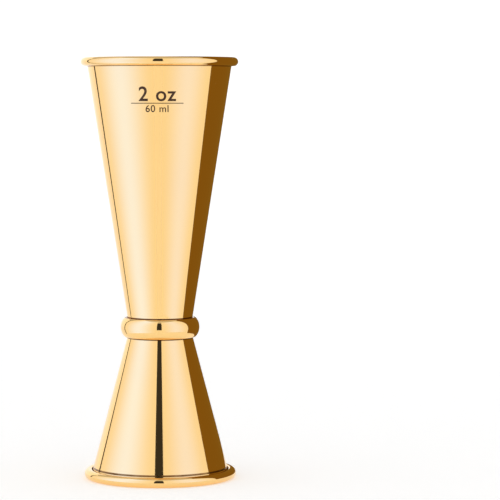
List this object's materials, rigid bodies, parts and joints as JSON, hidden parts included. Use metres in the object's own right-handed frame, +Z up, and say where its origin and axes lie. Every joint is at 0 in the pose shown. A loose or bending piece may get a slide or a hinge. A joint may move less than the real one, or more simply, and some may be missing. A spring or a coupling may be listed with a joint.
{
  "type": "bar jigger",
  "caption": "Double-ended conical spirit measure with rolled rims and a half-round band at its waist, standing on the smaller cup.",
  "frame": {"origin": "on the axis, in the plane of the small cup's rim, which the jigger stands on", "axes": "+Z up along the jigger's axis, from the small cup's rim to the large cup's rim; X and Y are any two directions across it, because it is round"},
  "size_m": [0.0472, 0.0472, 0.127],
  "materials": {
    "large_cup": "polished",
    "small_cup": "polished",
    "collar_band": "polished",
    "braze_disc": "as brazed"
  },
  "bodies": {
    "root": {"large_cup": "large_cup", "small_cup": "small_cup", "collar_band": "collar_band", "braze_disc": "braze_disc"}
  },
  "joints": []
}
